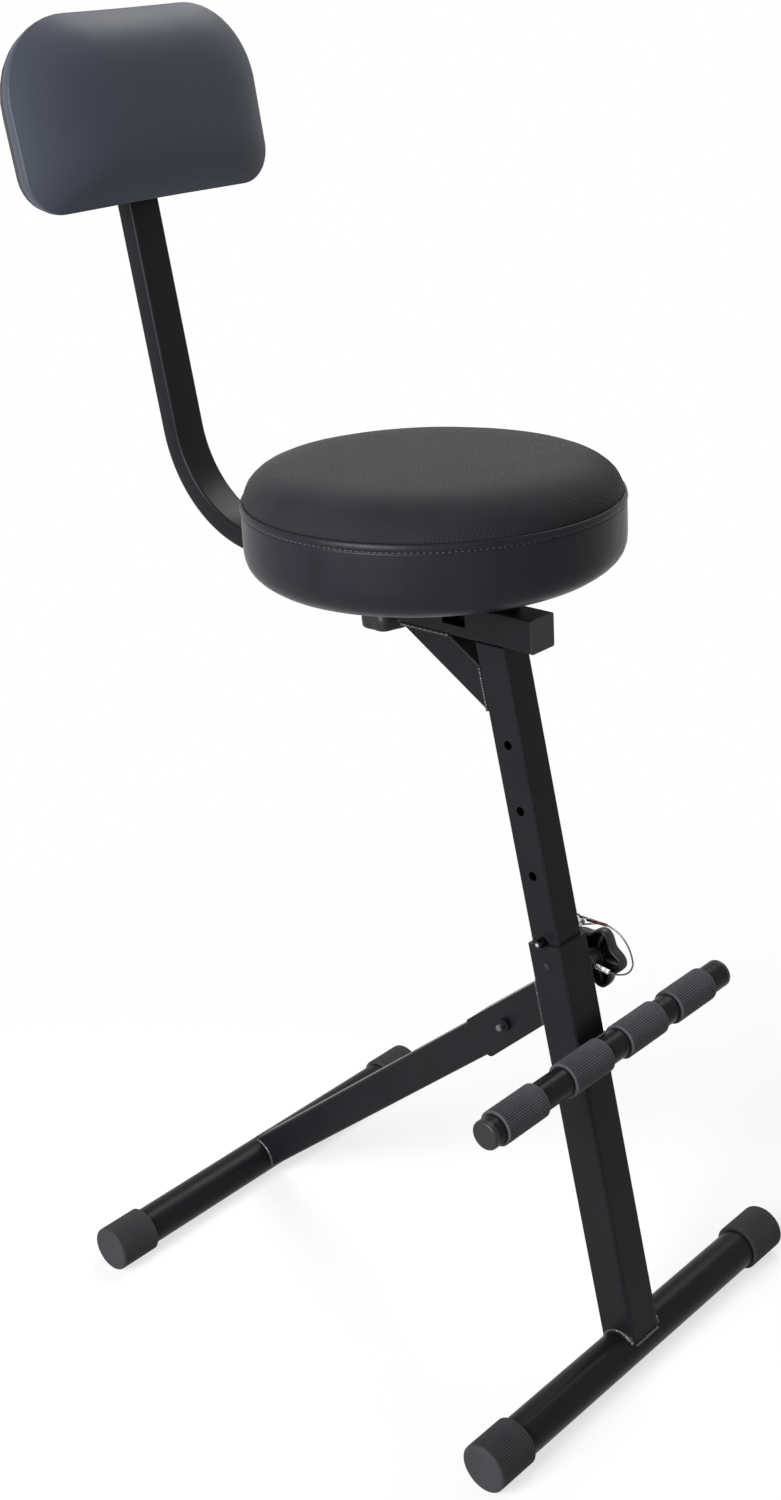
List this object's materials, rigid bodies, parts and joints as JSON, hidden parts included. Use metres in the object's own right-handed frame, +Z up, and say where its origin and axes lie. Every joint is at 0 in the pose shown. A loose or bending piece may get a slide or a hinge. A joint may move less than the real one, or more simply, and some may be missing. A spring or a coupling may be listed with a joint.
{
  "type": "folding gig chair",
  "caption": "Height-adjustable stool with a round padded seat, a padded backrest on a bent bar, a footrest and a T-shaped stand whose rear leg folds.",
  "frame": {"origin": "on the floor, under the middle of the chair's bounding box", "axes": "+Z up, +X to the sitter's right, +Y to the rear, so the sitter faces -Y"},
  "size_m": [0.446, 0.6034, 1.1994],
  "materials": {
    "black_powder_coat": "satin",
    "black_rubber": "matte",
    "black_plastic": "matte",
    "zinc_plated_steel": "satin",
    "aluminium_crimp": "satin",
    "copper_crimp": "satin",
    "coated_wire": "glossy",
    "plywood": "matte",
    "foam": "matte",
    "black_vinyl": "satin",
    "woven_fabric": "matte"
  },
  "bodies": {
    "base": {"front_foot_tube": "black_powder_coat", "front_foot_cap_left": "black_rubber", "front_foot_cap_right": "black_rubber", "outer_post": "black_powder_coat", "guide_bushing": "black_plastic", "clamp_weld_nut": "black_powder_coat", "footrest_bar": "black_powder_coat", "footrest_sleeve_1": "black_rubber", "footrest_sleeve_2": "black_rubber", "footrest_sleeve_3": "black_rubber", "footrest_sleeve_4": "black_rubber", "footrest_plug_left": "black_plastic", "footrest_plug_right": "black_plastic", "hinge_bracket": "black_powder_coat", "pivot_bolt": "zinc_plated_steel", "pivot_lock_nut": "black_powder_coat", "pivot_washers": "black_plastic", "lanyard_stud_eye": "aluminium_crimp", "lanyard_wire": "coated_wire"},
    "rear_leg": {"rear_leg": "black_powder_coat", "rear_foot_tube": "black_powder_coat", "rear_foot_cap_left": "black_rubber", "rear_foot_cap_right": "black_rubber"},
    "seat_carriage": {"inner_post": "black_powder_coat", "inner_post_plug": "black_plastic", "seat_beam": "black_powder_coat", "beam_plug": "black_plastic", "seat_strut": "black_powder_coat", "bar_receiver": "black_powder_coat", "receiver_nut": "black_powder_coat", "seat_plate": "black_powder_coat", "seat_screws": "zinc_plated_steel", "seat_tee_nuts": "zinc_plated_steel", "seat_board": "plywood", "seat_foam": "foam", "seat_side_band": "black_vinyl", "seat_top_fabric": "woven_fabric"},
    "lock_pin": {"lock_pin": "zinc_plated_steel", "lanyard_pin_eye": "copper_crimp"},
    "height_knob": {"height_knob": "black_plastic", "height_knob_stud": "zinc_plated_steel"},
    "backrest": {"backrest_bar": "black_powder_coat", "bar_plug_top": "black_plastic", "bar_plug_inner": "black_plastic", "back_board": "plywood", "back_foam": "foam", "back_cover": "black_vinyl", "back_screws": "zinc_plated_steel", "back_tee_nuts": "zinc_plated_steel"},
    "backrest_knob": {"backrest_knob": "black_plastic", "backrest_knob_stud": "zinc_plated_steel"}
  },
  "joints": [
    {"name": "rear_leg_fold", "type": "hinge", "parent": "base", "child": "rear_leg", "pos_m": [0, -0.15324, 0.32114], "axis": [1, 0, 0], "range_deg": [-66, 0]},
    {"name": "height_slide", "type": "slide", "parent": "base", "child": "seat_carriage", "axis": [0, 0.1908, 0.9816], "range_m": [0, 0.06]},
    {"name": "lock_pin_pull", "type": "slide", "parent": "seat_carriage", "child": "lock_pin", "axis": [1, 0, 0], "range_m": [-0.0029, 0.048]},
    {"name": "height_knob_turn", "type": "hinge", "parent": "base", "child": "height_knob", "pos_m": [0.0435, -0.20788, 0.38066], "axis": [1, 0, 0], "range_deg": [0, 360]},
    {"name": "backrest_slide", "type": "slide", "parent": "seat_carriage", "child": "backrest", "axis": [0, 1, 0], "range_m": [-0.035, 0.06]},
    {"name": "backrest_knob_turn", "type": "hinge", "parent": "seat_carriage", "child": "backrest_knob", "pos_m": [0, -0.015, 0.68], "axis": [0, 0, -1], "range_deg": [0, 360]}
  ]
}
